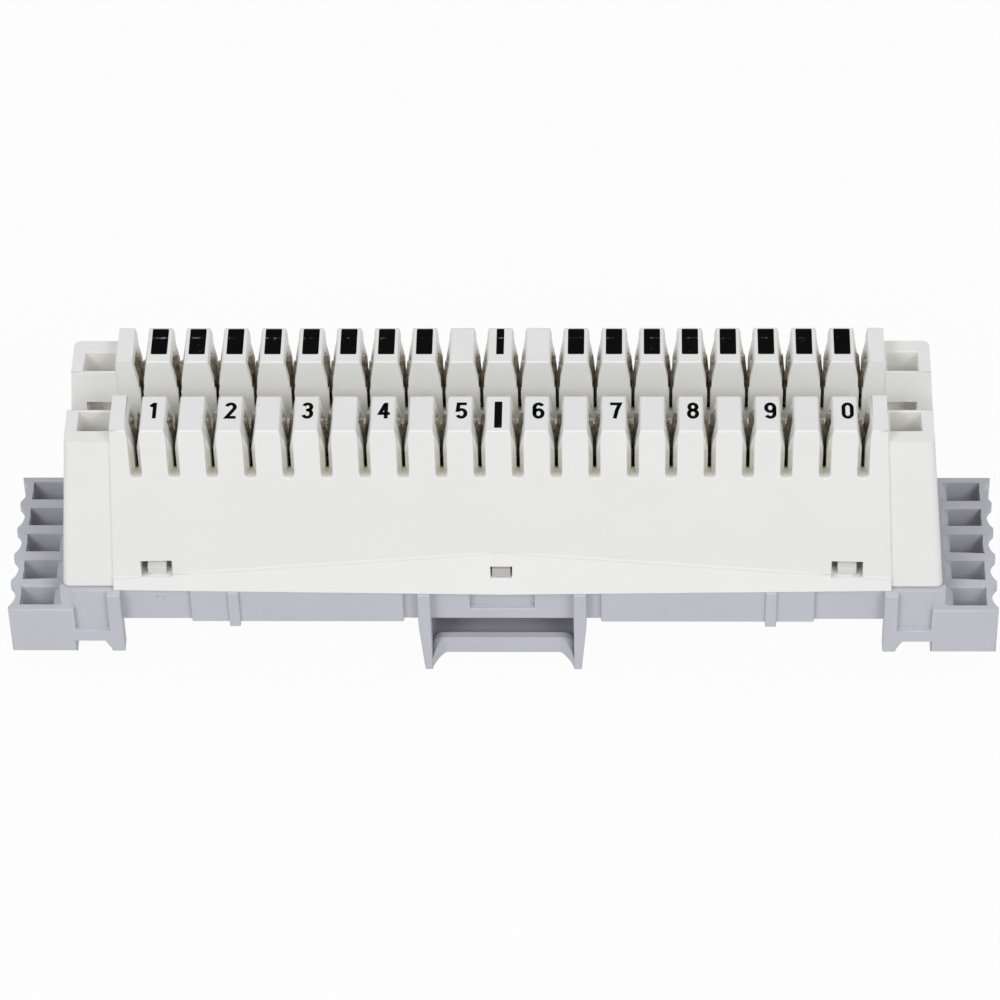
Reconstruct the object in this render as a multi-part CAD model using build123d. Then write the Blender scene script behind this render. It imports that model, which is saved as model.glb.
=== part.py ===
from build123d import *
import math
import os

# Ten-pair punch down wiring block: a white terminal housing with two rows of slotted towers,
# forty forked contacts, an inner contact carrier and a grey base that grips a mounting frame.
# Millimetres, +Z up, X along the block. Z = 0 is the underside of the middle cable guide.

# Overall sizes
module_length = 123.4
module_depth = 23.2
block_height = 40.2
base_top = 13.7
foot_height = 3.5

# Terminal housing: outer skin
comb_overhang = 7.0
end_block_length = 6.3
end_draft = 2.0
end_drop = 2.1
end_setback = 0.35
end_corner_radius = 0.9
end_seat_gap = 0.25
main_draft = 1.4
side_setback = 1.18
skirt_draft = 1.42
row_depth = 6.1
housing_wall = 1.6
cavity_drop = 14.0
channel_floor_thickness = 1.2

# Raised lip along the lower edge of each long side
lip_reach_middle = 0.98
lip_reach_end = 0.29
lip_rise_middle = 6.3

# Wire slots
slots_per_row = 20
slot_margin = 0.5
recess_width = 1.4
recess_depth_down = 7.8
recess_reach = 1.0
recess_flats = 6
slit_width = 0.42
slit_wall = 0.5
outer_slit_depth = 7.5
deep_slit_depth = 10.5
inner_slit_depth = 8.6
lead_in_width = 1.72
lead_in_depth = 4.0
relief_width = 0.7
relief_depth = 5.1
chamber_roof = 1.2
chamber_offset = 2.1

# Pockets and windows
pocket_end_wall = 1.5
pocket_inset = 0.4
end_gap_step = 0.3
pocket_depth = 3.2
pocket_floor_rise = 0.9
pocket_gap_wall = 0.4
gap_window_drop = 5.2
latch_window_width = 3.85
latch_window_height = 2.7
latch_window_rise = 3.45
latch_end_gap = 5.65
middle_window_width = 2.65
middle_window_height = 1.7
middle_window_rise = 3.3

# Contacts
strip_thickness = 0.5
contact_width = 2.9
fork_turn = 45.0
fork_tip_gap = 0.15
fork_mouth = 1.15
fork_slit = 0.3
fork_mouth_depth = 3.0
fork_slit_depth = 8.0
tip_chamfer = 0.35
finger_width = 1.6
finger_height = 7.2

# Contact carrier
carrier_wall = 1.4
carrier_end_gap = 1.2
latch_tab_width = 2.35
latch_tab_height = 2.2
latch_tab_setback = 0.45
latch_slot_width = 0.75

# Mounting base
tray_depth = 5.65
floor_thickness = 1.5
base_wall = 1.4
wall_setback = 1.5
pad_reach = 0.6
pad_guide_gap = 3.4
pad_post_gap = 8.65
side_rib_post_gap = 14.05
side_rib_width = 1.4
side_rib_reach = 1.0
side_rib_drop = 0.5
post_width = 1.7
foot_length = 6.0
foot_recess = 0.77
bar_rise = 1.85
bar_height = 2.0
bar_thickness = 1.8
foot_web = 1.4
gusset_length = 0.8
gusset_drop = 1.5
ledge_length = 1.65
ledge_height = 2.55
ledge_depth = 1.4
ledge_setback = 0.9
rest_rib_width = 1.2

# Wire combs at both ends of the base
comb_length = 8.2
comb_pockets = 5
comb_side = 0.225
comb_fin = 1.45
comb_ledge_gap = 0.2
comb_inner_slope = 0.8
comb_outer_wall = 1.4
comb_rim = 0.7
comb_nose_height = 1.1
comb_side_wall = 0.9
scallop_radius = 2.87
scallop_bite = 0.75

# Cable guide under the middle of the base
guide_half_length = 8.9
guide_rib_top = 1.6
guide_rib_bottom = 0.95
guide_rib_reach = 1.4
guide_plate_setback = 5.0
guide_plate = 1.2
guide_strap_setback = 0.5
guide_strap = 0.9
guide_strap_height = 2.75
guide_strap_corner = 1.6
guide_arch_rise = 1.25
guide_arch_radius = 1.2
guide_floor = 1.0
notch_half_length = 4.05
notch_height = 3.9
notch_depth = 0.85

# Clearances
fit = 0.05
carrier_fit = 0.2
past = 1.0

# Outline of the block, worked inwards from its length and depth
half_length = module_length / 2
half_depth = module_depth / 2
end_half_length_bottom = half_length - comb_overhang
end_half_length_top = end_half_length_bottom - end_draft
main_half_length_bottom = end_half_length_bottom - end_block_length
main_half_length_top = main_half_length_bottom - main_draft
skirt_half_depth = half_depth - side_setback
tower_half_depth = skirt_half_depth - skirt_draft
wall_half_depth = half_depth - wall_setback
comb_inner = half_length - comb_length
frame_half = comb_inner - foot_length

# Heights, worked down from the top of the towers and of the base
housing_height = block_height - base_top
end_top = block_height - end_drop
cavity_top = block_height - cavity_drop
channel_floor = cavity_top + channel_floor_thickness
strip_level = cavity_top - strip_thickness
base_floor = base_top - tray_depth
comb_top = base_top - ledge_height
bar_bottom = foot_height + bar_rise
bar_top = bar_bottom + bar_height

# Rows of slots, and the chambers that hold the turned forks
slot_pitch = 2 * (main_half_length_top - slot_margin) / slots_per_row
slot_places = [(i - (slots_per_row - 1) / 2) * slot_pitch for i in range(slots_per_row)]
channel_half_width = tower_half_depth - row_depth
end_gap_half_width = channel_half_width + end_gap_step
recess_back = tower_half_depth - recess_reach
chamber_middle = channel_half_width + chamber_offset
chamber_top = block_height - chamber_roof
fork_top = chamber_top - fork_tip_gap
turn_cos = math.cos(math.radians(fork_turn))
turn_sin = math.sin(math.radians(fork_turn))
chamber_half_length = (contact_width * turn_cos + strip_thickness * turn_sin) / 2 + fit
chamber_half_depth = (contact_width * turn_sin + strip_thickness * turn_cos) / 2 + fit

# Places along the base and its combs
latch_x = main_half_length_bottom - latch_end_gap
pad_from = guide_half_length + pad_guide_gap
pad_to = frame_half - pad_post_gap
side_rib_x = frame_half - side_rib_post_gap
rest_rib_x = (pad_from + pad_to) / 2
guide_plate_front = wall_half_depth - guide_plate_setback
guide_strap_front = wall_half_depth - guide_strap_setback
comb_pitch = (module_depth - 2 * comb_side) / comb_pockets
comb_pocket_depth = comb_pitch - comb_fin
comb_pocket_end = half_length - comb_outer_wall
comb_pocket_start = comb_inner + ledge_length + comb_ledge_gap
comb_pocket_low_start = comb_pocket_start + comb_inner_slope


def skirt_depth(z):
    """Half depth of the sloping long side of the housing at height z."""
    share = (z - base_top) / housing_height
    return skirt_half_depth + (tower_half_depth - skirt_half_depth) * share


def end_length(z):
    """Half length of the sloping end of the housing at height z."""
    share = (z - base_top) / (end_top - base_top)
    return end_half_length_bottom + (end_half_length_top - end_half_length_bottom) * share


def block(x0, x1, y0, y1, z0, z1):
    """A straight block between two opposite corners."""
    size = Box(x1 - x0, y1 - y0, z1 - z0)
    return Pos((x0 + x1) / 2, (y0 + y1) / 2, (z0 + z1) / 2) * size


def across(points, x0, x1):
    """A section drawn as (y, z) points and run along X from x0 to x1."""
    face = make_face(Polyline(points, close=True))
    return extrude(Plane.YZ.offset(x0) * face, x1 - x0)


def along(points, y0, y1):
    """A section drawn as (x, z) points and run along Y from y0 to y1."""
    face = make_face(Polyline(points, close=True))
    return extrude(Plane.XZ.offset(-y0) * face, y0 - y1)


def drafted(length_0, length_1, depth_0, depth_1, z0, z1):
    """A block whose four sides slope from the lower half sizes to the upper ones."""
    reach = max(length_0, length_1) + past
    side = across([(-depth_0, z0), (depth_0, z0), (depth_1, z1), (-depth_1, z1)], -reach, reach)
    reach = max(depth_0, depth_1) + past
    front = along([(-length_0, z0), (length_0, z0), (length_1, z1), (-length_1, z1)], -reach, reach)
    return side & front


def both_sides(shapes):
    """The shapes with their mirror copies on the far side."""
    return shapes + [mirror(shape, Plane.XZ) for shape in shapes]


def both_ends(shapes):
    """The shapes with their mirror copies at the other end."""
    return shapes + [mirror(shape, Plane.YZ) for shape in shapes]


def make_lip():
    """Half of the raised lip: a nearly upright plane that runs out into the sloping side."""
    face_y = -skirt_depth(base_top)
    apex = base_top + lip_rise_middle
    low_middle = Vector(0, face_y - lip_reach_middle, base_top)
    low_end = Vector(main_half_length_bottom, face_y - lip_reach_end, base_top)
    high_middle = Vector(0, -skirt_depth(apex), apex)
    along_edge = low_end - low_middle
    outward = along_edge.cross(high_middle - low_middle)
    cut = Plane(origin=low_middle, x_dir=along_edge, z_dir=outward)
    stock = block(0, main_half_length_bottom, face_y - 2 * lip_reach_middle, -tower_half_depth,
                  base_top, apex)
    end_slope = drafted(main_half_length_bottom, main_half_length_top, half_depth + past,
                        half_depth + past, base_top, block_height)
    return split(stock, bisect_by=cut, keep=Keep.BOTTOM) & end_slope


def make_slot(x):
    """Everything cut for one wire slot of the near row."""
    reach = skirt_half_depth + past
    recess_bottom = block_height - recess_depth_down
    radius = recess_width / 2
    turns = [math.pi * (1 + step / recess_flats) for step in range(recess_flats + 1)]
    foot = [(x + radius * math.cos(a), recess_bottom + radius * (1 + math.sin(a))) for a in turns]
    head = [(x + radius, block_height + past), (x - radius, block_height + past)]
    recess = along(foot + head, -reach, -recess_back)

    half_slit = slit_width / 2
    outer_slit = block(x - half_slit, x + half_slit, -recess_back - fit, -chamber_middle,
                       block_height - outer_slit_depth, block_height)
    deep_slit = block(x - half_slit, x + half_slit, -recess_back + slit_wall, -chamber_middle,
                      block_height - deep_slit_depth, block_height)
    inner_slit = block(x - half_slit, x + half_slit, -chamber_middle, -channel_half_width + fit,
                       block_height - inner_slit_depth, block_height)
    half_relief = relief_width / 2
    relief = block(x - half_relief, x + half_relief, -chamber_middle, -channel_half_width + fit,
                   block_height - relief_depth, block_height)

    low = block_height - lead_in_depth
    top = block_height + past
    slope = (lead_in_width - slit_width) / 2 / lead_in_depth
    mouth = lead_in_width / 2 + slope * past
    section = [(x - half_slit, low), (x + half_slit, low), (x + mouth, top), (x - mouth, top)]
    lead_in = along(section, -reach, -channel_half_width + fit)

    chamber = block(x - chamber_half_length, x + chamber_half_length,
                    -chamber_middle - chamber_half_depth, -chamber_middle + chamber_half_depth,
                    cavity_top - past, chamber_top)
    return [recess, outer_slit, deep_slit, inner_slit, relief, lead_in, chamber]


def make_housing():
    """White housing: drafted shell, towers, end blocks, pockets, windows and lips."""
    body = drafted(main_half_length_bottom, main_half_length_top, skirt_half_depth,
                   tower_half_depth, base_top, block_height)
    ends = drafted(end_half_length_bottom, end_half_length_top, skirt_half_depth - end_setback,
                   skirt_depth(end_top) - end_setback, base_top, end_top)
    corners = [edge for edge in ends.edges() if base_top + fit < edge.center().Z < end_top - fit]
    body += fillet(corners, end_corner_radius)
    body += both_sides(both_ends([make_lip()]))
    body -= both_ends([block(main_half_length_bottom, half_length, -half_depth, half_depth,
                             base_top - past, base_top + end_seat_gap)])

    inset = end_setback + housing_wall
    below = base_top - past
    body -= drafted(end_length(below) - housing_wall, end_length(cavity_top) - housing_wall,
                    skirt_depth(below) - inset, skirt_depth(cavity_top) - inset, below, cavity_top)
    body -= block(-half_length, half_length, -channel_half_width, channel_half_width,
                  channel_floor, block_height + past)

    end_gap = block(main_half_length_top, half_length, -end_gap_half_width, end_gap_half_width,
                    channel_floor, block_height + past)
    body -= both_ends([end_gap])

    pocket_near = end_gap_half_width + pocket_gap_wall
    pocket_start = main_half_length_top + pocket_inset
    pocket_end = end_half_length_top - pocket_end_wall
    pocket_floor = channel_floor + pocket_floor_rise
    pocket = block(pocket_start, pocket_end, -pocket_near - pocket_depth, -pocket_near,
                   pocket_floor, end_top + past)
    gap_window = block(pocket_start, pocket_end, -pocket_near - fit, -end_gap_half_width + fit,
                       pocket_floor, end_top - gap_window_drop)
    skirt = -skirt_half_depth - past
    inside = -skirt_depth(base_top + lip_rise_middle) + inset
    latch_low = base_top + latch_window_rise - latch_window_height / 2
    latch = block(latch_x - latch_window_width / 2, latch_x + latch_window_width / 2, skirt, inside,
                  latch_low, latch_low + latch_window_height)
    middle_low = base_top + middle_window_rise - middle_window_height / 2
    middle = block(-middle_window_width / 2, middle_window_width / 2, skirt, inside,
                   middle_low, middle_low + middle_window_height)
    body -= both_sides(both_ends([pocket, gap_window, latch]) + [middle])

    cuts = []
    for x in slot_places:
        cuts += make_slot(x)
    body -= both_sides(cuts)
    half_finger = finger_width / 2 + fit
    finger_reach = strip_thickness + fit
    body -= [block(x - half_finger, x + half_finger, -finger_reach, finger_reach,
                   cavity_top - past, channel_floor + past) for x in slot_places]
    return body


def make_contact(x):
    """One contact of the near row: a strip that ends in a spring finger at the middle of the
    block, and in a fork that is twisted against the wire at the other end."""
    t = strip_thickness
    z0 = strip_level
    finger_half = finger_width / 2
    profile = [(-chamber_middle, z0), (0, z0), (0, z0 + finger_height), (-t, z0 + finger_height),
               (-t, z0 + t), (-chamber_middle, z0 + t)]
    strip = across(profile, x - finger_half, x + finger_half)

    half = contact_width / 2
    mouth = fork_mouth / 2
    slit = fork_slit / 2
    throat = fork_top - fork_mouth_depth
    bottom = fork_top - fork_slit_depth
    shoulder = fork_top - tip_chamfer
    right = [(slit, bottom), (slit, throat), (mouth, fork_top), (half - tip_chamfer, fork_top),
             (half, shoulder), (half, z0)]
    left = [(-u, z) for u, z in reversed(right)]
    fork = along(left + right, -t / 2, t / 2)
    return strip + Pos(x, -chamber_middle, 0) * Rot(0, 0, fork_turn) * fork


def make_carrier():
    """Inner moulding under the contacts: an open-bottomed trough with four latch tabs."""
    inset = end_setback + housing_wall + carrier_fit
    top = strip_level
    length_0 = main_half_length_bottom - carrier_end_gap
    length_1 = main_half_length_top - carrier_end_gap
    depth_0 = skirt_depth(base_top) - inset
    depth_1 = skirt_depth(top) - inset
    body = drafted(length_0, length_1, depth_0, depth_1, base_top, top)
    body -= drafted(length_0 - carrier_wall, length_1 - carrier_wall, depth_0 - carrier_wall,
                    depth_1 - carrier_wall, base_top, top - carrier_wall)
    low = base_top + latch_window_rise - latch_window_height / 2
    half_tab = latch_tab_width / 2
    tab_face = skirt_depth(low + latch_tab_height) - latch_tab_setback
    root = skirt_depth(low) - inset - carrier_wall / 2
    tab = across([(-root, low + fit), (-tab_face, low + fit), (-tab_face, low + latch_tab_height / 2),
                  (-root, low + latch_tab_height)], latch_x - half_tab, latch_x + half_tab)
    body += both_sides(both_ends([tab]))
    slot = block(latch_x + half_tab, latch_x + half_tab + latch_slot_width, -depth_0 - past,
                 -depth_1 + carrier_wall + past, low, low + latch_window_height)
    slots = [slot, Pos(-latch_tab_width - latch_slot_width, 0, 0) * slot]
    body -= both_sides(both_ends(slots))
    return body


def make_guide():
    """Near half of the cable guide: an arched strap, a floor and a plate behind, between two ribs."""
    half = guide_half_length
    front = guide_plate_front
    back = front - guide_plate
    plate = block(-half - fit, half + fit, -front, -back, 0, base_floor + fit)

    strap_top = guide_arch_rise + guide_strap_height
    sheet = Pos(0, strap_top / 2) * Rectangle(2 * half + 2 * fit, strap_top)
    sheet = fillet(sheet.vertices().group_by(Axis.Y)[-1], guide_strap_corner)
    arch = Rectangle(2 * half, 2 * guide_arch_rise)
    sheet -= fillet(arch.vertices(), guide_arch_radius)
    strap = extrude(Plane.XZ.offset(guide_strap_front - guide_strap) * sheet, guide_strap)

    floor = block(-half - fit, half + fit, -guide_strap_front + guide_strap - fit, -front + fit,
                  guide_arch_rise, guide_arch_rise + guide_floor)

    rib_front = wall_half_depth + guide_rib_reach
    rib_section = [(half, base_top), (half + guide_rib_top, base_top), (half + guide_rib_top, base_floor),
                   (half + guide_rib_bottom, 0), (half, 0)]
    rib = along(rib_section, -rib_front, -back)
    return [plate, strap, floor] + both_ends([rib])


def make_base():
    """Grey base: tray, feet for the mounting frame, wire combs and cable guide."""
    tray_half = frame_half + post_width
    body = block(-tray_half, tray_half, -wall_half_depth, wall_half_depth, base_floor, base_top)
    pad_front = wall_half_depth + pad_reach
    pad = block(pad_from, pad_to, -pad_front, -wall_half_depth + fit, base_floor, base_top)
    rib_half = side_rib_width / 2
    rib_front = wall_half_depth + side_rib_reach
    rib = block(side_rib_x - rib_half, side_rib_x + rib_half, -rib_front, -wall_half_depth + base_wall,
                base_floor - side_rib_drop, base_top)
    body += both_sides(both_ends([pad, rib]) + make_guide())

    foot = block(frame_half, comb_inner, -half_depth, half_depth, foot_height, base_top)
    foot -= both_sides([block(frame_half + post_width, comb_inner, -half_depth - past,
                              -half_depth + foot_recess, bar_top, base_top + past)])
    foot -= block(frame_half + post_width, comb_inner, -half_depth - past, half_depth + past,
                  foot_height - past, bar_bottom)
    foot -= both_sides([block(frame_half + post_width, comb_inner, -half_depth + bar_thickness,
                              -foot_web / 2, foot_height - past, base_top - floor_thickness)])
    post_edge = frame_half + post_width
    foot -= block(frame_half - past, post_edge + fit, -half_depth + bar_thickness,
                  half_depth - bar_thickness, foot_height - past, base_floor)
    corner = [(post_edge - fit, bar_bottom + fit), (post_edge + gusset_length, bar_bottom + fit),
              (post_edge - fit, bar_bottom - gusset_drop)]
    foot += both_sides([along(corner, -half_depth, -half_depth + bar_thickness)])

    comb = block(comb_inner, half_length, -half_depth, half_depth, foot_height, comb_top)
    ledge_half = half_depth - ledge_setback
    comb += block(comb_inner, comb_inner + ledge_length, -ledge_half, -ledge_half + ledge_depth,
                  comb_top - fit, base_top)
    bite_x = half_length + scallop_radius - scallop_bite
    opening = [(comb_pocket_low_start, foot_height - past), (comb_pocket_end, foot_height - past),
               (comb_pocket_end, comb_top + past), (comb_pocket_start, comb_top + past),
               (comb_pocket_start, comb_top), (comb_pocket_low_start, comb_top - comb_inner_slope)]
    for i in range(comb_pockets):
        place = Pos(bite_x, (i - (comb_pockets - 1) / 2) * comb_pitch, (foot_height + base_top) / 2)
        near = place.position.Y - comb_pocket_depth / 2
        pocket = along(opening, near, near + comb_pocket_depth)
        comb -= pocket - place * Cylinder(scallop_radius + comb_rim, 2 * base_top)
        comb -= place * Cylinder(scallop_radius, 2 * base_top)
    side = half_depth - comb_side_wall
    comb -= block(half_length - scallop_bite, half_length + past, -side, side,
                  foot_height - past, comb_top - comb_nose_height)
    body += both_ends([foot, comb])

    room_half = wall_half_depth - base_wall
    room = block(-frame_half, frame_half, -room_half, room_half, base_floor + floor_thickness,
                 base_top + past)
    rest_half = rest_rib_width / 2
    for x in (-rest_rib_x, rest_rib_x):
        room -= block(x - rest_half, x + rest_half, -room_half, room_half, base_floor, base_top)
    body -= room
    notch = block(-notch_half_length, notch_half_length, -wall_half_depth - past,
                  -wall_half_depth + notch_depth, base_top - notch_height, base_top + past)
    body -= both_sides([notch])
    return body


os.makedirs("parts", exist_ok=True)
nodes = {
    "terminal_housing": make_housing(),
    "contact_carrier": make_carrier(),
    "mounting_base": make_base(),
}
for number, place in enumerate(slot_places, start=1):
    near = make_contact(place)
    nodes[f"contact_front_{number:02d}"] = near
    nodes[f"contact_rear_{number:02d}"] = mirror(near, Plane.XZ)
for name, shape in nodes.items():
    export_step(shape, f"parts/{name}.step")
    print(name, round(shape.volume, 2))
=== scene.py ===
# %% [markdown]
# # A ten-pair punch down wiring block
# The solids of the block come from a CAD model and are loaded here as a fixed frame: a white
# terminal housing, forty forked contacts, an inner carrier and a grey base. This script gives
# them the finish of the real thing: softened moulded edges, plastic and metal that look like
# plastic and metal, the printed marks on the towers, a floor, two lamps and a camera.
# Everything is in metres, and +Z is up.

# %% Load the frame
import bpy
import bmesh
import math
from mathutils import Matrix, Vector


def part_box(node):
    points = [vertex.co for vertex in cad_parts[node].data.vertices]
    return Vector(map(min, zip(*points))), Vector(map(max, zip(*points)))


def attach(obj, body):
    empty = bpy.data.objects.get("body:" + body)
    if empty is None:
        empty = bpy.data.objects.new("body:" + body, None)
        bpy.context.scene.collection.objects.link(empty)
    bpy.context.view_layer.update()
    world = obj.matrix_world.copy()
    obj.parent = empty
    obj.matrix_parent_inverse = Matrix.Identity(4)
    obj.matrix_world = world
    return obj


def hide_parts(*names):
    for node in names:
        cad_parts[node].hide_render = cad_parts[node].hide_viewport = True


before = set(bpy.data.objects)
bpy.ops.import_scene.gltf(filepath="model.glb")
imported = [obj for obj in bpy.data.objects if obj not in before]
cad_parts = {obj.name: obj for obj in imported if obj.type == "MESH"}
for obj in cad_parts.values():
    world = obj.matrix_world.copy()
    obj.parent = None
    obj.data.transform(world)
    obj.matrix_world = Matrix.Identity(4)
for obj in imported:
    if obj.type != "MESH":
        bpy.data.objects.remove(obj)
scene = bpy.context.scene
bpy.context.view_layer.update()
MM = 0.001

# %% [markdown]
# ## Node materials
# Each finish is a small tree of shader nodes round one Principled BSDF. Small helpers keep the
# cells short: one starts a material, and each of the others adds a node, links it and returns
# its output. Patterns read Object coordinates, so they stay put on a piece from every side.
# Noise rarely leaves the middle of 0 to 1, so that middle is stretched to the wanted range.

# %% Helpers for materials
NOISE_LOW, NOISE_HIGH = 0.3, 0.7


def start_material(name):
    """A new node material; returns it with its tree and its Principled shader."""
    material = bpy.data.materials.new(name)
    material.use_nodes = True
    tree = material.node_tree
    return material, tree, tree.nodes["Principled BSDF"]


def add_node(tree, kind, **sockets):
    """A new shader node with some of its input sockets set by name."""
    node = tree.nodes.new(kind)
    for key, value in sockets.items():
        node.inputs[key.replace("_", " ")].default_value = value
    return node


def add_noise(tree, per_mm, detail=2.0):
    """Noise on Object coordinates, with about so many features in a millimetre."""
    place = tree.nodes.new("ShaderNodeTexCoord")
    noise = add_node(tree, "ShaderNodeTexNoise", Scale=per_mm / MM, Detail=detail)
    tree.links.new(place.outputs["Object"], noise.inputs["Vector"])
    return noise.outputs["Fac"]


def add_ramp(tree, source, stops):
    """A colour ramp over a value, given as (position, colour) stops."""
    ramp = tree.nodes.new("ShaderNodeValToRGB")
    band = ramp.color_ramp
    while len(band.elements) < len(stops):
        band.elements.new(0.5)
    for element, (position, colour) in zip(band.elements, stops):
        element.position = position
        element.color = (*colour, 1.0)
    tree.links.new(source, ramp.inputs["Fac"])
    return ramp.outputs["Color"]


def add_range(tree, source, low, high):
    """Noise, which keeps near the middle of 0 to 1, stretched to a range of values."""
    spread = add_node(tree, "ShaderNodeMapRange", From_Min=NOISE_LOW, From_Max=NOISE_HIGH,
                      To_Min=low, To_Max=high)
    tree.links.new(source, spread.inputs["Value"])
    return spread.outputs["Result"]


def add_math(tree, operation, first, second):
    """A Math node on one socket and a second socket or number."""
    node = tree.nodes.new("ShaderNodeMath")
    node.operation = operation
    tree.links.new(first, node.inputs[0])
    if isinstance(second, float):
        node.inputs[1].default_value = second
    else:
        tree.links.new(second, node.inputs[1])
    return node.outputs[0]


def add_bump(tree, source, depth_mm, strength=1.0):
    """Bump from a value, with its depth in millimetres."""
    bump = add_node(tree, "ShaderNodeBump", Strength=strength, Distance=depth_mm * MM)
    tree.links.new(source, bump.inputs["Height"])
    return bump.outputs["Normal"]


print("material helpers ready")

# %% [markdown]
# ## Painted shade in hollows
# The wire slots of the housing and the inside of the cable guide lie in shade, and that shade is
# painted into the colour: there a tint makes it deeper. A mask says where: it is a product of
# soft steps over X, Y and Z, each from the place where it is 0 to the place where it is 1, in
# millimetres. The slots repeat, so a ping-pong of X over the slot pitch gives the distance to the
# nearest one.

# %% Painted shade in hollows
SLOT_PITCH = 4.65 * MM
FRONT_TOP_Y, FRONT_SLOPE, FRONT_TOP_Z = 9.0 * MM, 0.0542, 40.2 * MM
SLOT_SIDE, SLOT_MOUTH, SLOT_BACK = (0.72, 0.62), (0.15, 0.8), (2.2, 1.8)
SLOT_ROOF, ROW_END = (37.5, 35.5), (46.0, 45.5)
# Painted shade: inside the wire slots the colour of the housing is multiplied by this tint.
SLOT_PAINTED_SHADE = (0.74, 0.74, 0.67, 1.0)
GUIDE_SIDE, GUIDE_FRONT, GUIDE_ROOF = (9.0, 8.6), (8.72, 8.3), (9.5, 8.5)
# Painted shade: behind the strap of the cable guide the grey of the base is multiplied by this
# tint.
GUIDE_PAINTED_SHADE = (0.62, 0.62, 0.62, 1.0)
MIX_SHARE, MIX_FIRST, MIX_SECOND, MIX_OUT = 0, 6, 7, 2  # sockets of a Mix node for colours


def add_axes(tree):
    """The X, Y and Z of the Object coordinates."""
    place = tree.nodes.new("ShaderNodeTexCoord")
    apart = tree.nodes.new("ShaderNodeSeparateXYZ")
    tree.links.new(place.outputs["Object"], apart.inputs["Vector"])
    return [apart.outputs[axis] for axis in "XYZ"]


def add_steps(tree, steps):
    """A mask from soft steps, each given as a value and the places in mm where it is 0 and 1."""
    mask = None
    for source, (start, end) in steps:
        step = add_node(tree, "ShaderNodeMapRange", From_Min=start * MM, From_Max=end * MM)
        tree.links.new(source, step.inputs["Value"])
        result = step.outputs["Result"]
        mask = result if mask is None else add_math(tree, "MULTIPLY", mask, result)
    return mask


def slot_shade_mask(tree):
    """1 inside the wire slots, from their mouth in the sloping front to their back wall, where
    shade is painted.
    """
    x, y, z = add_axes(tree)
    turns = add_math(tree, "ADD", add_math(tree, "DIVIDE", x, SLOT_PITCH), 0.5)
    beside = add_math(tree, "MULTIPLY", add_math(tree, "PINGPONG", turns, 0.5), SLOT_PITCH)
    drop = add_math(tree, "MULTIPLY", add_math(tree, "SUBTRACT", z, FRONT_TOP_Z), -FRONT_SLOPE)
    front = add_math(tree, "ADD", drop, FRONT_TOP_Y)
    depth = add_math(tree, "SUBTRACT", front, add_math(tree, "ABSOLUTE", y, 0.0))
    reach = add_math(tree, "ABSOLUTE", x, 0.0)
    return add_steps(tree, [(beside, SLOT_SIDE), (depth, SLOT_MOUTH), (depth, SLOT_BACK),
                            (z, SLOT_ROOF), (reach, ROW_END)])


def guide_shade_mask(tree):
    """1 behind the strap of the cable guide, where shade is painted."""
    x, y, z = add_axes(tree)
    across = add_math(tree, "ABSOLUTE", x, 0.0)
    depth = add_math(tree, "ABSOLUTE", y, 0.0)
    return add_steps(tree, [(across, GUIDE_SIDE), (depth, GUIDE_FRONT), (z, GUIDE_ROOF)])


def add_painted_shade(tree, colour, mask, tint):
    """The colour, multiplied by a tint where the mask is 1, which paints shade there."""
    shade = tree.nodes.new("ShaderNodeMix")
    shade.data_type = "RGBA"
    shade.blend_type = "MULTIPLY"
    tree.links.new(mask, shade.inputs[MIX_SHARE])
    tree.links.new(colour, shade.inputs[MIX_FIRST])
    shade.inputs[MIX_SECOND].default_value = tint
    return shade.outputs[MIX_OUT]


# The helpers above darken a colour as painted shade.
print("dust helpers ready")

# %% [markdown]
# ## Moulded plastics
# The housing is a white engineering plastic with a satin skin. The carrier inside it is duller and
# darker: its darker white is painted shade, for the shade on its latch tabs in the windows. Its
# nibs in the middle windows are beige, a darker, warmer copy of its white that is painted shade for
# their recess. The base is a cooler grey with a slightly coarser skin. A plain colour would look
# like paper, so each gets a very faint cloudiness, an uneven sheen and the fine spark-eroded grain
# that a mould leaves.

# %% Plastic finishes
SHEEN_SPREAD = 0.05
PLASTIC_IOR = 1.5


def moulded_plastic(name, low, high, roughness, grain_mm, grain_depth, hollow=None, tint=None):
    """Satin moulded plastic: faint clouds of colour, uneven sheen and a fine grain."""
    material, tree, shader = start_material(name)
    clouds = add_noise(tree, per_mm=0.12, detail=3.0)
    colour = add_ramp(tree, clouds, [(NOISE_LOW, low), (NOISE_HIGH, high)])
    # Where a mask is given, painted shade darkens the colour inside it.
    if hollow:
        colour = add_painted_shade(tree, colour, hollow(tree), tint)
    tree.links.new(colour, shader.inputs["Base Color"])
    sheen = add_range(tree, add_noise(tree, per_mm=0.6), roughness - SHEEN_SPREAD,
                      roughness + SHEEN_SPREAD)
    tree.links.new(sheen, shader.inputs["Roughness"])
    grain = add_noise(tree, per_mm=1.0 / grain_mm, detail=1.0)
    tree.links.new(add_bump(tree, grain, grain_depth, strength=0.6), shader.inputs["Normal"])
    shader.inputs["IOR"].default_value = PLASTIC_IOR
    print("finish made:", name)
    return material


# The housing gets painted shade in its wire slots.
housing_white = moulded_plastic(
    "housing_white", low=(0.870, 0.865, 0.800), high=(0.890, 0.885, 0.820),
    roughness=0.42, grain_mm=0.22, grain_depth=0.010, hollow=slot_shade_mask, tint=SLOT_PAINTED_SHADE)
# Painted shade: a darker white than the housing, for the shade on the carrier's latch tabs.
carrier_white = moulded_plastic(
    "carrier_white", low=(0.70, 0.70, 0.65), high=(0.73, 0.73, 0.68),
    roughness=0.45, grain_mm=0.22, grain_depth=0.010)
# Painted shade: a darker, warmer copy of the carrier's white, for the shade in the window recess.
nib_painted_shade = moulded_plastic(
    "nib_painted_shade", low=(0.47, 0.46, 0.41), high=(0.50, 0.49, 0.44),
    roughness=0.46, grain_mm=0.25, grain_depth=0.010)
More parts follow.
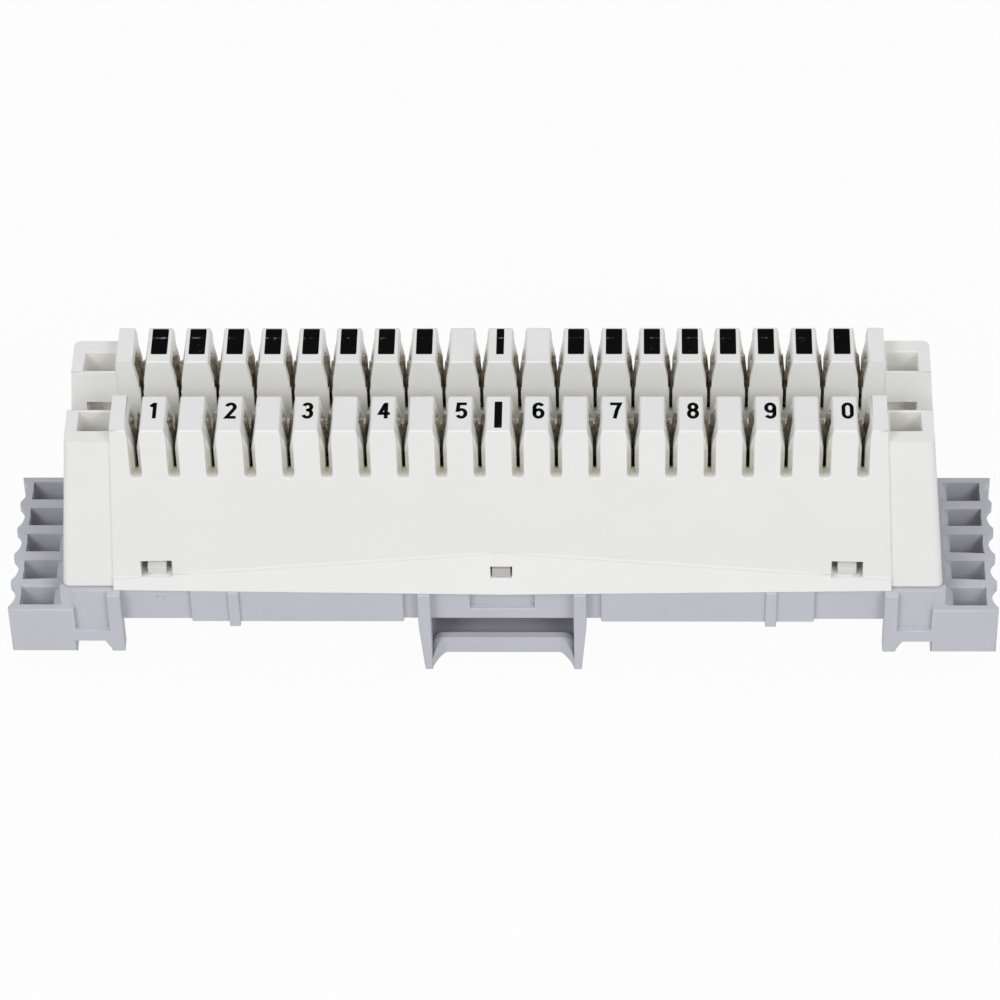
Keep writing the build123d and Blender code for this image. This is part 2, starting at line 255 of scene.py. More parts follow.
# The base gets painted shade behind the strap of its cable guide.
base_grey = moulded_plastic(
    "base_grey", low=(0.555, 0.55, 0.572), high=(0.58, 0.575, 0.598),
    roughness=0.48, grain_mm=0.28, grain_depth=0.014, hollow=guide_shade_mask, tint=GUIDE_PAINTED_SHADE)

# %% [markdown]
# ## Contact metal and printing ink
# The contacts are stamped from bronze strip and have dulled to a brown grey, darker in some
# places than in others. The ink is a near black pad print with a little wear in it, and a pale
# streak across the rear blocks is a painted highlight.

# %% Metal and ink finishes
TARNISHED, DULL, BARE = (0.32, 0.26, 0.19), (0.62, 0.55, 0.45), (0.83, 0.78, 0.68)
FULL_INK, THIN_INK, WORN_AND_GLINT_INK = (0.002,) * 3, (0.03,) * 3, (0.24,) * 3
# The streak across the rear marks is a painted highlight: the ink is paler along it.
STREAK_Y, STREAK_HALF, STREAK_GLINT = 7.1 * MM, 0.22 * MM, 0.22


def aged_bronze(name):
    """Dull bronze strip with tarnish in patches and a fine unevenness."""
    material, tree, shader = start_material(name)
    patches = add_noise(tree, per_mm=0.9, detail=4.0)
    colour = add_ramp(tree, patches, [(0.35, TARNISHED), (0.50, DULL), (0.66, BARE)])
    tree.links.new(colour, shader.inputs["Base Color"])
    shader.inputs["Metallic"].default_value = 0.7
    sheen = add_range(tree, add_noise(tree, per_mm=3.0), low=0.38, high=0.58)
    tree.links.new(sheen, shader.inputs["Roughness"])
    marks = add_noise(tree, per_mm=6.0, detail=1.0)
    bump = add_bump(tree, marks, depth_mm=0.006, strength=0.5)
    tree.links.new(bump, shader.inputs["Normal"])
    print("finish made:", name)
    return material


def printed_ink(name):
    """Black pad print, grey where the ink is thin, and paler along a streak across the rear marks,
    a painted highlight.
    """
    material, tree, shader = start_material(name)
    y = add_axes(tree)[1]
    away = add_math(tree, "ABSOLUTE", add_math(tree, "SUBTRACT", y, STREAK_Y), 0.0)
    band = add_node(tree, "ShaderNodeMapRange", From_Min=0.0, From_Max=STREAK_HALF,
                    To_Min=STREAK_GLINT, To_Max=0.0)
    tree.links.new(away, band.inputs["Value"])
    thin = add_noise(tree, per_mm=1.6, detail=4.0)
    wear_and_glint = add_math(tree, "ADD", thin, band.outputs["Result"])
    colour = add_ramp(tree, wear_and_glint, [(0.64, FULL_INK), (0.74, THIN_INK), (0.86, WORN_AND_GLINT_INK)])
    tree.links.new(colour, shader.inputs["Base Color"])
    sheen = add_range(tree, add_noise(tree, per_mm=2.0), low=0.50, high=0.65)
    tree.links.new(sheen, shader.inputs["Roughness"])
    shader.inputs["Specular IOR Level"].default_value = 0.05
    print("finish made:", name)
    return material


contact_bronze = aged_bronze("contact_bronze")
tower_ink = printed_ink("tower_ink")

# %% [markdown]
# ## Softened moulded edges
# No moulded edge is truly sharp: a thin line of light along each one is what makes plastic read
# as plastic. The CAD solids have sharp edges, so each visible node is copied, its loose
# triangles are merged, and its edges get a small round from the Bevel modifier. The modifier
# scales its width by a weight on each edge, so tower tops can be rounder than the rest. Only
# edges with room for the round are taken, which keeps tiny steps inside the slots clean. The
# modifier puts its new faces in a second material slot, so they can be told apart: flat areas
# then keep their own shading normals, only the rounds bend the light, and the slot goes.
# Between two broad faces even a very flat edge stays a crease, as at the top of the lip.

# %% Helpers for rounded edges
SHARP = math.radians(32)  # flatter edges are shaded smooth
LEVEL = math.radians(0.3)  # faces that differ less lie in one plane
ROUND = 1  # material slot of the faces that the modifier makes
BROAD = 20.0 * MM * MM  # area of a broad face
ROOM = 2.2  # a rounded edge and those it meets are longer than this many radii
SAME_POINT = 0.002 * MM  # points closer than this are merged


def merged_copy(node):
    """The mesh of a CAD node with its loose triangles joined into whole flat faces."""
    bm = bmesh.new()
    bm.from_mesh(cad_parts[node].data)
    bmesh.ops.remove_doubles(bm, verts=bm.verts, dist=SAME_POINT)
    bmesh.ops.dissolve_limit(bm, angle_limit=LEVEL, verts=bm.verts, edges=bm.edges)
    return bm


def mark_edges(bm, widest_mm, radius_at):
    """Gives each sharp edge a bevel weight for its own radius; edges without room stay crisp."""
    weight = bm.edges.layers.float.new("bevel_weight_edge")
    taken = 0
    for edge in bm.edges:
        broad = min(face.calc_area() for face in edge.link_faces) > BROAD
        edge.smooth = edge.calc_face_angle(0.0) < (LEVEL if broad else SHARP)
        if edge.smooth or not edge.is_convex:
            continue
        radius = radius_at((edge.verts[0].co + edge.verts[1].co) / 2 / MM)
        shortest = min(e.calc_length() / MM for v in edge.verts for e in v.link_edges)
        if 0.0 < radius < shortest / ROOM:
            edge[weight] = radius / widest_mm
            edge.smooth = True
            taken += 1
    return taken


def flat_groups(bm):
    """Numbers the flat areas of a mesh, each of faces in one plane, and measures them."""
    group = {}
    areas = []
    for start in bm.faces:
        if start in group:
            continue
        todo = [start]
        group[start] = len(areas)
        areas.append(0.0)
        while todo:
            face = todo.pop()
            areas[-1] += face.calc_area()
            beside = [f for edge in face.edges if edge.smooth for f in edge.link_faces]
            for other in beside:
                if other not in group and other.normal.angle(start.normal, 1.0) < LEVEL:
                    group[other] = group[start]
                    todo.append(other)
    return group, areas


def shade_flat_areas(mesh):
    """Custom normals: flat areas keep their own, and the rounds lead from one to the next."""
    bm = bmesh.new()
    bm.from_mesh(mesh)
    group, areas = flat_groups(bm)
    normals = []
    for face in bm.faces:
        flat = face.material_index != ROUND
        for loop in face.loops:
            near, todo = {face}, [face]
            while todo:
                here = todo.pop()
                for edge in here.edges:
                    if loop.vert in edge.verts and edge.smooth:
                        fresh = [f for f in edge.link_faces if f not in near]
                        fresh = [f for f in fresh if not flat or f.material_index != ROUND]
                        near.update(fresh)
                        todo.extend(fresh)
            leaders = [f for f in near if f.material_index != ROUND] or near
            total = Vector()
            for number in {group[f] for f in leaders}:
                one = next(f for f in leaders if group[f] == number)
                total += one.normal * areas[number]
            normals.append(total.normalized())
    bm.free()
    mesh.normals_split_custom_set(normals)


def rounded_copy(node, name, material, widest_mm, radius_at, segments=2):
    """A dressed copy of a CAD node, with its edges rounded, that stands for the node."""
    bm = merged_copy(node)
    taken = mark_edges(bm, widest_mm, radius_at)
    for face in bm.faces:
        face.smooth = True
    mesh = bpy.data.meshes.new(name)
    bm.to_mesh(mesh)
    bm.free()
    mesh.materials.append(material)
    mesh.materials.append(material)
    piece = bpy.data.objects.new(name, mesh)
    scene.collection.objects.link(piece)
    bevel = piece.modifiers.new("edge_round", "BEVEL")
    bevel.limit_method = "WEIGHT"
    bevel.width = widest_mm * MM
    bevel.segments = segments
    bevel.use_clamp_overlap = False
    bevel.material = ROUND
    bpy.context.view_layer.update()
    shaped = piece.evaluated_get(bpy.context.evaluated_depsgraph_get())
    finished = bpy.data.meshes.new_from_object(shaped)
    piece.modifiers.clear()
    piece.data = finished
    shade_flat_areas(finished)
    finished.polygons.foreach_set("material_index", [0] * len(finished.polygons))
    finished.materials.pop(index=ROUND)
    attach(piece, "root")
    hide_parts(node)
    print(name, "edges rounded:", taken, "faces:", len(finished.polygons))
    return piece


print("edge helpers ready")

# %% [markdown]
# ## How round each edge is
# A function for each moulding gives the radius at the middle of an edge. Tower tops and comb
# noses are rounder than the rest. Edges that are never seen, or that crowd another round, stay
# sharp. The limits that tell these places apart are in millimetres, like the radii.

# %% The white housing
INSIDE_X, INSIDE_Y, INSIDE_Z = 53.2, 9.2, 26.5
TOWER_EDGE_Z = 40.1
TOWER_ROUND, HOUSING_ROUND = 0.24, 0.14


def housing_radius(place):
    """Radius in mm for an edge: tower tops are the roundest, the hollow inside is sharp."""
    if place.z < INSIDE_Z and abs(place.y) < INSIDE_Y and abs(place.x) < INSIDE_X:
        return 0.0
    return TOWER_ROUND if place.z > TOWER_EDGE_Z else HOUSING_ROUND


housing = rounded_copy("terminal_housing", "housing_shell", housing_white, TOWER_ROUND,
                       housing_radius)

# %% The grey base and the inner carrier
SEAT_X, SEAT_Y = 53.5, 10.9
STRAP_END_FROM, STRAP_END_TO, STRAP_END_Y, STRAP_END_Z = 6.8, 9.0, 9.8, 4.2
SLOPE_FROM, SLOPE_TO = 55.3, 56.2
MIDDLE_X, STRAP_TOP, NEAR = 0.5, 4.0, 0.1
COMB_X, COMB_FRONT_Y, NOSE_X = 53.0, 11.5, 60.5
BASE_ROUND, COMB_ROUND, COMB_FRONT_ROUND = 0.18, 0.28, 0.25
STRAP_ROUND, NOSE_ROUND = 0.34, 0.42
TAB_Y, TAB_ROUND = 8.6, 0.10


def base_radius(place):
    """Radius in mm for an edge: comb noses are the roundest, hidden corners stay sharp."""
    x, y, z = abs(place.x), abs(place.y), place.z
    under_housing = abs(x - SEAT_X) < NEAR and y < SEAT_Y
    strap_end = STRAP_END_FROM < x < STRAP_END_TO and y < STRAP_END_Y and z < STRAP_END_Z
    pocket_slope = SLOPE_FROM < x < SLOPE_TO
    if under_housing or strap_end or pocket_slope:
        return 0.0
    if x < MIDDLE_X and abs(z - STRAP_TOP) < NEAR:
        return STRAP_ROUND
    if x > COMB_X and y > COMB_FRONT_Y:
        return COMB_FRONT_ROUND
    if x > NOSE_X:
        return NOSE_ROUND
    return COMB_ROUND if x > COMB_X else BASE_ROUND


def carrier_radius(place):
    """Radius in mm for an edge of the carrier: only its latch tabs show."""
    return TAB_ROUND if abs(place.y) > TAB_Y else 0.0


base = rounded_copy("mounting_base", "base_shell", base_grey, NOSE_ROUND, base_radius, segments=3)
carrier = rounded_copy("contact_carrier", "carrier_shell", carrier_white, TAB_ROUND, carrier_radius)

# %% [markdown]
# ## Small forms built from rings
# The small forms that follow are all made one way: rings of points are set along a path, and
# neighbouring rings are joined by faces. A row of rings gets a cap at both ends, and a closed
# one runs into its own start. Then the normals are turned outwards and the mesh is kept as
# a piece that rides on the block.

# %% Helpers for small forms
def join_rings(bm, rings, smooth=True, closed=False):
    """Joins neighbouring rings by faces, and caps the ends of an open row."""
    following = rings[1:] + rings[:1] if closed else rings[1:]
    for near, far in zip(rings, following):
        for i in range(len(near)):
            j = (i + 1) % len(near)
            bm.faces.new((near[i], near[j], far[j], far[i])).smooth = smooth
    if not closed:
        bm.faces.new(rings[0])
        bm.faces.new(rings[-1])


def keep_piece(name, bm, material):
    """Turns a finished bmesh into a piece that rides on the block."""
    bmesh.ops.recalc_face_normals(bm, faces=bm.faces)
    mesh = bpy.data.meshes.new(name)
    bm.to_mesh(mesh)
    bm.free()
    mesh.materials.append(material)
    piece = bpy.data.objects.new(name, mesh)
    scene.collection.objects.link(piece)
    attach(piece, "root")
    print(name, "faces:", len(mesh.polygons))
    return piece


print("ring helpers ready")

# %% [markdown]
# ## The ridge on the lip
# Along the skirt a shallow lip swells out of the sloping side, and a thin raised ridge follows
# the line where it starts. The line is already in the CAD mesh, as the long slanted crease with
# a small angle. So the script finds those edges and sweeps a low arc along each of them.

# %% Ridge along the crease
RIDGE_HALF, RIDGE_RISE, RIDGE_SINK = 0.34, 0.055, 0.06
RIDGE_RUN = ((0.0, 0.0), (0.06, 0.7), (0.14, 1.0), (0.86, 1.0), (0.94, 0.7), (1.0, 0.0))
CREASE_ANGLE = math.radians(15)
CREASE_LENGTH = 3.0 * MM


def ridge_section(scale):
    """Points across the ridge as (along the wall, out of the wall) in mm, base points last."""
    steps = [i / 4 - 1 for i in range(9)]
    arc = [(RIDGE_HALF * t, scale * RIDGE_RISE * (1 - t * t)) for t in steps]
    return arc + [(RIDGE_HALF, -RIDGE_SINK), (-RIDGE_HALF, -RIDGE_SINK)]


def sweep_ridge(bm, start, end, outward):
    """One ridge from start to end, run down to nothing at both ends."""
    up = outward.cross((end - start).normalized())
    rings = []
    for along, scale in RIDGE_RUN:
        middle = start.lerp(end, along)
        points = [middle + (up * a + outward * b) * MM for a, b in ridge_section(scale)]
        rings.append([bm.verts.new(point) for point in points])
    join_rings(bm, rings)


crease_mesh = merged_copy("terminal_housing")
ridge_mesh = bmesh.new()
for edge in crease_mesh.edges:
    hollow = not edge.is_convex and LEVEL < edge.calc_face_angle(0.0) < CREASE_ANGLE
    if hollow and edge.calc_length() > CREASE_LENGTH:
        outward = sum((face.normal for face in edge.link_faces), Vector()).normalized()
        start, end = (vert.co.copy() for vert in edge.verts)
        sweep_ridge(ridge_mesh, start, end, outward)
        print("crease at mm:", [[round(c / MM, 1) for c in place] for place in (start, end)])
crease_mesh.free()
ridges = keep_piece("lip_ridges", ridge_mesh, housing_white)

# %% [markdown]
# ## A mould mark
# The tool that moulded the base left one small raised ring on its wall, near the left end. It is
# a circle swept along a circle: each step round the big circle gets a small ring of points.

# %% Ring on the base wall
MARK_AT = Vector((-42.6, -10.1, 12.0))
MARK_RADIUS, MARK_BEAD = 0.42, 0.11


def ring_mark(around=24, across=8):
    """A closed ring that lies on the wall, half sunk into it."""
    bm = bmesh.new()
    rings = []
    for i in range(around):
        turn = math.tau * i / around
        spoke = Vector((math.cos(turn), 0.0, math.sin(turn)))
        points = []
        for j in range(across):
            tilt = math.tau * j / across
            reach = spoke * (MARK_RADIUS + MARK_BEAD * math.cos(tilt))
            points.append(MARK_AT + reach + Vector((0.0, MARK_BEAD * math.sin(tilt), 0.0)))
        rings.append([bm.verts.new(point * MM) for point in points])
    join_rings(bm, rings, closed=True)
    return bm


mark = keep_piece("mould_mark", ring_mark(), base_grey)

# %% [markdown]
# ## Corners of the cable guide
# The strap of the cable guide runs into the feet of its posts in a wide hollow curve. The rings
# of each corner follow the curve from the strap to the post and have four points: the bottom
# and the top at the hollow front, and the top and the bottom in the strap. Powers of the way
# from strap to post give the curve, and its start is sunk into the rounded edges of the strap.

# %% Hollow corners beside the posts
POST_X, POST_FRONT, STRAP_FRONT = 8.9, 11.28, 9.59
CORNER_START = 6.8
START_SINK, BEHIND_SINK, CORNER_SINK = 0.2, 0.1, 0.05
STRAP_LOW, POST_LOW = 1.26, 0.22
ROOF_X, ROOF_Z, ROOF_RADIUS = 7.35, 2.39, 1.6
ROOF_FALL = 0.6
SINK_POWER, FRONT_POWER, LOW_POWER = 6, 1.8, 2.2


def corner_ring(x):
    """Four points of a hollow corner at x: bottom and top at the front, top and bottom behind."""
    inside = min(x, POST_X)
    way = (inside - CORNER_START) / (POST_X - CORNER_START)
    hidden = START_SINK * (1 - way) ** SINK_POWER
    out = (POST_FRONT - STRAP_FRONT) * way ** FRONT_POWER
    front = STRAP_FRONT + out - hidden
    bottom = STRAP_LOW + (POST_LOW - STRAP_LOW) * way ** LOW_POWER + hidden
    top = ROOF_Z + math.sqrt(ROOF_RADIUS ** 2 - max(0.0, inside - ROOF_X) ** 2) - hidden
    fall = ROOF_FALL * out
    behind = min(STRAP_FRONT - BEHIND_SINK, front - CORNER_SINK)
    return [(x, front, bottom), (x, front, top - fall), (x, behind, top), (x, behind, bottom)]


def hollow_corner(bm, side_x, side_y, count=12):
    """One corner of the guide; the sides are 1 or -1."""
    step = (POST_X - CORNER_START) / count
    places = [CORNER_START + step * i for i in range(count + 1)] + [POST_X + CORNER_SINK]
    rings = []
    for place in places:
        points = [Vector((side_x * x, side_y * y, z)) for x, y, z in corner_ring(place)]
        rings.append([bm.verts.new(point * MM) for point in points])
    join_rings(bm, rings)


corner_mesh = bmesh.new()
for side_x in (-1, 1):
    for side_y in (-1, 1):
        hollow_corner(corner_mesh, side_x, side_y)
corners = keep_piece("guide_corners", corner_mesh, base_grey)
corners.data.set_sharp_from_angle(angle=SHARP)

# %% [markdown]
# ## The latch in the middle window
# A small nib of the carrier fills each middle window, with a fine gap all round. It is a bar
# with a front that slopes like the lip: two rings, one at each end, with the nib's outline in
# Y and Z.

# %% Nibs in the middle windows
NIB_HALF_WIDTH = 1.13
NIB_LOW, NIB_HIGH = 16.37, 17.50
NIB_FRONT_LOW, NIB_FRONT_HIGH, NIB_BACK = 10.69, 10.45, 8.0


def window_nib(bm, side_y):
    """One nib, on the near side (-1) or the far side (1)."""
    outline = [(NIB_FRONT_LOW, NIB_LOW), (NIB_FRONT_HIGH, NIB_HIGH),
               (NIB_BACK, NIB_HIGH), (NIB_BACK, NIB_LOW)]
    ends = []
    for x in (-NIB_HALF_WIDTH, NIB_HALF_WIDTH):
        ends.append([bm.verts.new(Vector((x, side_y * y, z)) * MM) for y, z in outline])
    join_rings(bm, ends, smooth=False)


nib_mesh = bmesh.new()
for side_y in (-1, 1):
    window_nib(nib_mesh, side_y)
nibs = keep_piece("window_nibs", nib_mesh, nib_painted_shade)

# %% [markdown]
# ## The contacts
# The forty contacts keep their CAD shape: a stamped strip really is crisp. They only get their
# metal, by assigning it to the mesh's material slot.

# %% Bronze on the contacts
CONTACT_ROWS = ("contact_front", "contact_rear")
contacts = [node for name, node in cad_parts.items() if name.startswith(CONTACT_ROWS)]
for node in contacts:
    node.data.materials.clear()
    node.data.materials.append(contact_bronze)
print("contacts finished:", len(contacts))

# %% [markdown]
# ## Printed marks on the towers
# Each tower stands between two wire slots. Every second tower of the front row carries a digit,
# the middle tower a bar, and most towers of the rear row a black block. The blocks and bars
# repeat, so a Geometry Nodes tree draws one with rounded corners and sets it on a list of
# points. The ink is a hundredth of a millimetre thick, like a real pad print.

# %% Where the towers are
TOWER_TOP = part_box("terminal_housing")[1][2]
INK = 0.012 * MM
MIDDLE_TOWER, LAST_TOWER = 10, 19


def tower_x(number):
    """Middle of a tower along the block, in metres."""
    return (number - MIDDLE_TOWER) * SLOT_PITCH


print("tower tops at z mm:", round(TOWER_TOP / MM, 2))

# %% A node tree for blocks of ink
RIM_GAP = 0.001 * MM  # joins the underside of a block to its rim
CORNER_POINTS = 3


def block_tree():
    """Geometry Nodes: a thin block with rounded corners on every point of the input mesh."""
    tree = bpy.data.node_groups.new("ink_blocks", "GeometryNodeTree")
    tree.interface.new_socket("Geometry", in_out="INPUT", socket_type="NodeSocketGeometry")
    for label in ("Width", "Length", "Corner", "Thickness"):
        tree.interface.new_socket(label, in_out="INPUT", socket_type="NodeSocketFloat")
    tree.interface.new_socket("Ink", in_out="INPUT", socket_type="NodeSocketMaterial")
    tree.interface.new_socket("Geometry", in_out="OUTPUT", socket_type="NodeSocketGeometry")
    kinds = ["NodeGroupInput", "GeometryNodeCurvePrimitiveQuadrilateral", "GeometryNodeFilletCurve",
             "GeometryNodeFillCurve", "GeometryNodeExtrudeMesh", "GeometryNodeFlipFaces",
             "GeometryNodeJoinGeometry", "GeometryNodeMergeByDistance",
             "GeometryNodeInstanceOnPoints", "GeometryNodeRealizeInstances",
             "GeometryNodeSetMaterial", "NodeGroupOutput"]
    sizes, outline, rounded, filled, raised, under, joined, closed, placed, real, inked, out = [
        tree.nodes.new(kind) for kind in kinds]
    rounded.mode = "POLY"
    rounded.inputs["Count"].default_value = CORNER_POINTS
    raised.inputs["Individual"].default_value = False
    closed.inputs["Distance"].default_value = RIM_GAP
    link = tree.links.new
    link(sizes.outputs["Width"], outline.inputs["Width"])
    link(sizes.outputs["Length"], outline.inputs["Height"])
    link(outline.outputs["Curve"], rounded.inputs["Curve"])
    link(sizes.outputs["Corner"], rounded.inputs["Radius"])
    link(rounded.outputs["Curve"], filled.inputs["Curve"])
    link(filled.outputs["Mesh"], raised.inputs["Mesh"])
    link(sizes.outputs["Thickness"], raised.inputs["Offset Scale"])
    link(filled.outputs["Mesh"], under.inputs["Mesh"])
    link(raised.outputs["Mesh"], joined.inputs["Geometry"])
    link(under.outputs["Mesh"], joined.inputs["Geometry"])
    link(joined.outputs["Geometry"], closed.inputs["Geometry"])
    link(sizes.outputs["Geometry"], placed.inputs["Points"])
    link(closed.outputs["Geometry"], placed.inputs["Instance"])
    link(placed.outputs["Instances"], real.inputs["Geometry"])
    link(real.outputs["Geometry"], inked.inputs["Geometry"])
    link(sizes.outputs["Ink"], inked.inputs["Material"])
    link(inked.outputs["Geometry"], out.inputs["Geometry"])
    return tree


ink_blocks = block_tree()
print("tree made:", ink_blocks.name)

# %% Blocks and bars
def lay_blocks(name, points, width_mm, length_mm, corner_mm):
    """Lays one block of ink on each point, and keeps the result as a plain mesh."""
    mesh = bpy.data.meshes.new(name)
    mesh.from_pydata(points, [], [])
    piece = bpy.data.objects.new(name, mesh)
    scene.collection.objects.link(piece)
    layer = piece.modifiers.new("blocks", "NODES")
    layer.node_group = ink_blocks
    values = {"Width": width_mm * MM, "Length": length_mm * MM, "Corner": corner_mm * MM,
              "Thickness": INK, "Ink": tower_ink}
    for socket in ink_blocks.interface.items_tree:
        if socket.in_out == "INPUT" and socket.name in values:
            layer[socket.identifier] = values[socket.name]
    bpy.context.view_layer.update()
    laid = piece.evaluated_get(bpy.context.evaluated_depsgraph_get())
    finished = bpy.data.meshes.new_from_object(laid)
    piece.modifiers.clear()
    piece.data = finished
    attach(piece, "root")
    print(name, "marks:", len(points), "faces:", len(finished.polygons))


REAR_MARK_Y = 6.49 * MM
FRONT_BAR_Y = -6.2 * MM
BLOCK = {"width_mm": 2.0, "length_mm": 4.44, "corner_mm": 0.16}
BAR = {"width_mm": 0.93, "length_mm": 4.46, "corner_mm": 0.10}
marked = [n for n in range(1, LAST_TOWER + 1) if abs(n - MIDDLE_TOWER) > 1]
lay_blocks("rear_blocks", [(tower_x(n), REAR_MARK_Y, TOWER_TOP) for n in marked], **BLOCK)
bars = [(tower_x(MIDDLE_TOWER), y, TOWER_TOP) for y in (REAR_MARK_Y, FRONT_BAR_Y)]
lay_blocks("middle_bars", bars, **BAR)

# %% [markdown]
# ## The digits
# Ten plain digits number the pairs from the left. A Text object could write them, but its
# letter shapes are wide and thin; the print is bold and narrow. So each digit is drawn here as
# one or two strokes along a centre line, made of straight runs and elliptical bends in
# millimetres. A ribbon of constant width follows each line with mitred corners.

# %% Centre lines of the digits
WIDE, TALL = 0.50, 1.15


def bend(x, y, rx, ry, start, end, step=15):
    """Points along part of an ellipse, from one angle to another, in degrees."""
    count = max(2, round(abs(end - start) / step))
    turns = [math.radians(start + (end - start) * i / count) for i in range(count + 1)]
    return [(x + rx * math.cos(t), y + ry * math.sin(t)) for t in turns]


ring = bend(0, TALL - 0.62, WIDE, 0.62, 0, 180)
ring += bend(0, 0.62 - TALL, WIDE, 0.62, 180, 360)
ring += ring[:1]
bowl = bend(0, 0.66 - TALL, WIDE, 0.66, 0, 360)
hook = bend(0, TALL - 0.60, WIDE, 0.60, 25, 180) + [(-WIDE, 0.66 - TALL)]
digit_lines = {
    "0": [ring],
    "1": [[(0.10, TALL + 0.19), (0.10, -TALL - 0.19)],
          [(0.02, TALL - 0.02), (-0.42, TALL - 0.46)]],
    "2": [bend(0, TALL - 0.56, WIDE, 0.56, 165, -35) + [(-0.43, -TALL), (WIDE + 0.2, -TALL)]],
    "3": [bend(0, TALL - 0.53, 0.46, 0.53, 160, -80) + [(-0.16, 0.10)],
          [(-0.16, 0.10)] + bend(0, 0.63 - TALL, WIDE, 0.63, 80, -160)],
    "4": [[(0.20, TALL + 0.19), (0.20, -TALL - 0.19)],
          [(0.10, TALL), (-0.52, -0.50), (0.68, -0.50)]],
    "5": [[(WIDE + 0.12, TALL), (-0.36, TALL), (-0.46, 0.02)]
          + bend(0, 0.67 - TALL, WIDE, 0.67, 130, -155)],
    "6": [bowl, hook],
    "7": [[(-WIDE - 0.19, TALL), (WIDE, TALL), (0.14, 0.10), (-0.12, -TALL - 0.19)]],
    "8": [bend(0, TALL - 0.53, 0.44, 0.53, 0, 360), bend(0, 0.62 - TALL, WIDE, 0.62, 0, 360)],
    "9": [[(-x, -y) for x, y in bowl], [(-x, -y) for x, y in hook]],
}
print("digits drawn:", len(digit_lines))

# %% [markdown]
# ## Laying the digits
# Each stroke is a row of flat rings, two points on the tower top and two on the ink. The print
# sits a little to the right of the towers' middles and is a little longer than the row, so
# it drifts outwards towards both ends.

# %% Digits on the front towers
STROKE = 0.47
SHARPEST_MITRE = 0.45
CLOSED_GAP = 1e-6
DIGIT_Y = -5.5
DIGIT_DRIFT = 1.0035
DIGIT_SHIFT = 0.2 * MM


def ribbon(line):
    """Left and right edge of a stroke along a centre line, with mitred corners."""
    closed = math.dist(line[0], line[-1]) < CLOSED_GAP
    points = [Vector(p) for p in line]
    sides = []
    for i, point in enumerate(points):
        before = points[i - 1] if i else (points[-2] if closed else None)
        after = points[i + 1] if i + 1 < len(points) else (points[1] if closed else None)
        runs = [(b - a).normalized() for a, b in ((before, point), (point, after)) if a and b]
        across = sum((Vector((-r.y, r.x)) for r in runs), Vector((0, 0))).normalized()
        mitre = max(SHARPEST_MITRE, across.dot(Vector((-runs[0].y, runs[0].x))))
        stretch = STROKE / 2 / mitre
        sides.append((point + across * stretch, point - across * stretch))
    return sides


def lay_stroke(bm, line, x):
    """Adds one stroke to the shared mesh as a thin closed strip on a tower top."""
    rings = []
    for left, right in ribbon(line):
        (ax, ay), (bx, by) = ((x / MM + side.x, DIGIT_Y + side.y) for side in (left, right))
        section = [(ax, ay, 0.0), (bx, by, 0.0), (bx, by, INK), (ax, ay, INK)]
        rings.append([bm.verts.new((px * MM, py * MM, TOWER_TOP + z)) for px, py, z in section])
    join_rings(bm, rings, smooth=False)


digit_mesh = bmesh.new()
for number, digit in zip(range(1, LAST_TOWER + 1, 2), "1234567890"):
    for line in digit_lines[digit]:
        lay_stroke(digit_mesh, line, tower_x(number) * DIGIT_DRIFT + DIGIT_SHIFT)
keep_piece("pair_digits", digit_mesh, tower_ink)

# %% [markdown]
# ## Floor and light
# The block is shown on white. The floor is a big pale sheet that catches a soft shadow; seen
# straight by the camera, most of its brightness is its own, so it stays white. Two broad lamps
# stand in front, to the left and the right, and a pale surround lights the block from all
# sides. The light is a little blue and the white plastic a little yellow. So flat faces come
# out neutral, and hollows, where light bounces from wall to wall, turn warm.

# %% Floor
FLOOR_HALF, FLOOR_Z = 4.0, -0.02 * MM
FLOOR_GREY = 0.62
GLOW_SHARE = 0.96


def white_floor():
    """Pale floor whose camera view is mixed with plain white."""
    material, tree, shader = start_material("studio_floor")
    shader.inputs["Base Color"].default_value = (FLOOR_GREY, FLOOR_GREY, FLOOR_GREY, 1.0)
    shader.inputs["Roughness"].default_value = 0.9
    path = tree.nodes.new("ShaderNodeLightPath")
    seen = add_math(tree, "MAXIMUM", path.outputs["Is Camera Ray"], path.outputs["Is Glossy Ray"])
    share = add_math(tree, "MULTIPLY", seen, GLOW_SHARE)
    glow = add_node(tree, "ShaderNodeEmission", Strength=1.0)
    glow.inputs["Color"].default_value = (1.0, 1.0, 1.0, 1.0)
    mix = tree.nodes.new("ShaderNodeMixShader")
    tree.links.new(share, mix.inputs["Fac"])
    tree.links.new(shader.outputs["BSDF"], mix.inputs[1])
    tree.links.new(glow.outputs["Emission"], mix.inputs[2])
    tree.links.new(mix.outputs["Shader"], tree.nodes["Material Output"].inputs["Surface"])
    return material


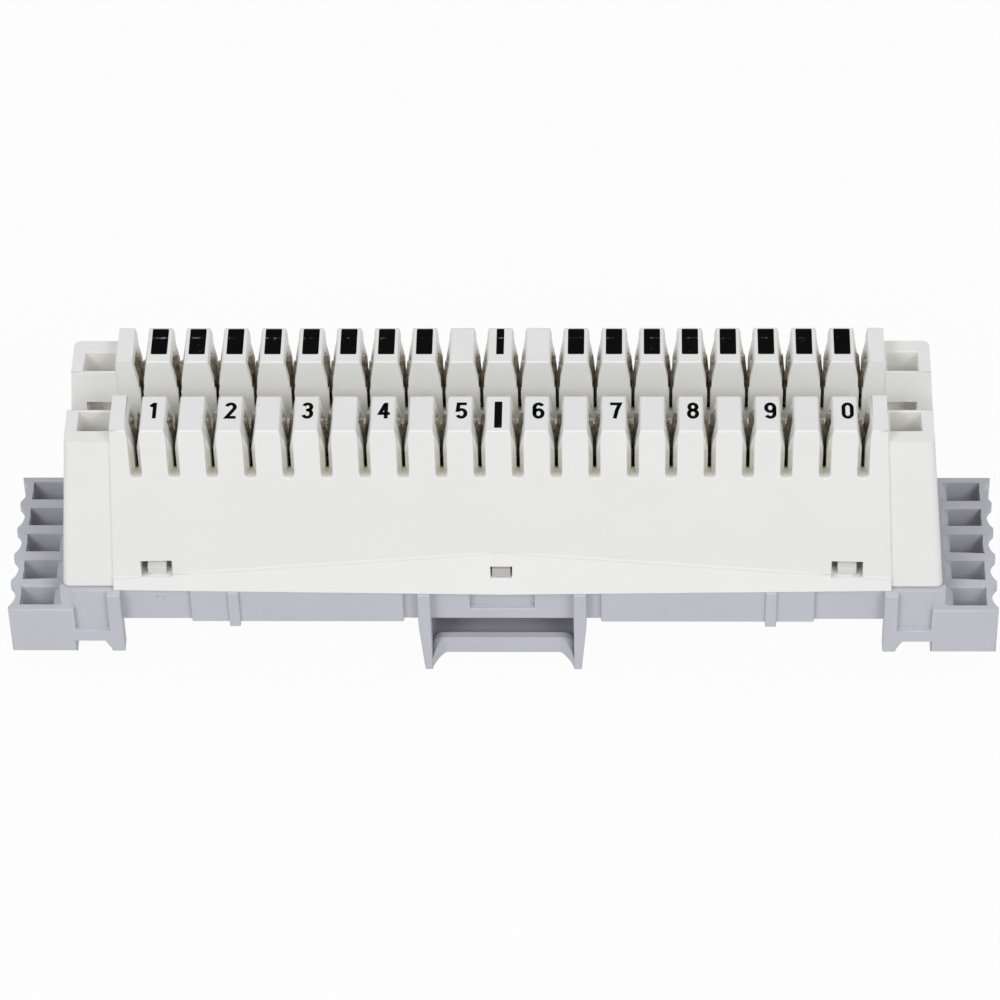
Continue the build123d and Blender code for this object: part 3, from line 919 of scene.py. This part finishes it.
mesh = bpy.data.meshes.new("floor")
signs = ((-1, -1), (1, -1), (1, 1), (-1, 1))
sheet = [(a * FLOOR_HALF, b * FLOOR_HALF, FLOOR_Z) for a, b in signs]
mesh.from_pydata(sheet, [], [(0, 1, 2, 3)])
mesh.materials.append(white_floor())
floor = bpy.data.objects.new("floor", mesh)
scene.collection.objects.link(floor)
print("floor laid")

# %% World and lamps
LIGHT_COLOUR = (0.925, 0.935, 1.0)
SURROUND = 0.50
LAMP_ASIDE, LAMP_Y, LAMP_Z = 0.62, -0.86, 0.94
LAMP_SIZE = 0.5
LAMP_AIM = Vector((0, 0, 0.02))


def soft_lamp(name, x, power):
    """A square area lamp that points at the block."""
    data = bpy.data.lights.new(name, "AREA")
    data.size = LAMP_SIZE
    data.energy = power
    data.color = LIGHT_COLOUR
    lamp = bpy.data.objects.new(name, data)
    lamp.location = (x, LAMP_Y, LAMP_Z)
    lamp.rotation_euler = (LAMP_AIM - lamp.location).to_track_quat("-Z", "Y").to_euler()
    scene.collection.objects.link(lamp)
    print("lamp:", name, power, "W")


world = bpy.data.worlds.new("studio")
world.use_nodes = True
surround = world.node_tree.nodes["Background"]
surround.inputs["Color"].default_value = (*LIGHT_COLOUR, 1.0)
surround.inputs["Strength"].default_value = SURROUND
scene.world = world
soft_lamp("left_lamp", -LAMP_ASIDE, power=6.7)
soft_lamp("right_lamp", LAMP_ASIDE, power=6.4)

# %% [markdown]
# ## Camera
# The angle, distance and lens come from fitting the photograph's edges: the view is from
# the front, two degrees to the right and about 47 degrees up, with a long lens.

# %% Camera and colour
CAMERA_AT = (0.01639, -0.42063, 0.45520)
CAMERA_TURN = (43.964, 1.071, 1.073)  # degrees
lens = bpy.data.cameras.new("photo_camera")
lens.lens = 174.72
lens.sensor_width = 36.0
lens.shift_x = -0.0054
lens.clip_start = 0.01
camera = bpy.data.objects.new("photo_camera", lens)
camera.location = CAMERA_AT
camera.rotation_euler = [math.radians(turn) for turn in CAMERA_TURN]
scene.collection.objects.link(camera)
scene.camera = camera
scene.view_settings.view_transform = "Standard"
print("camera set")
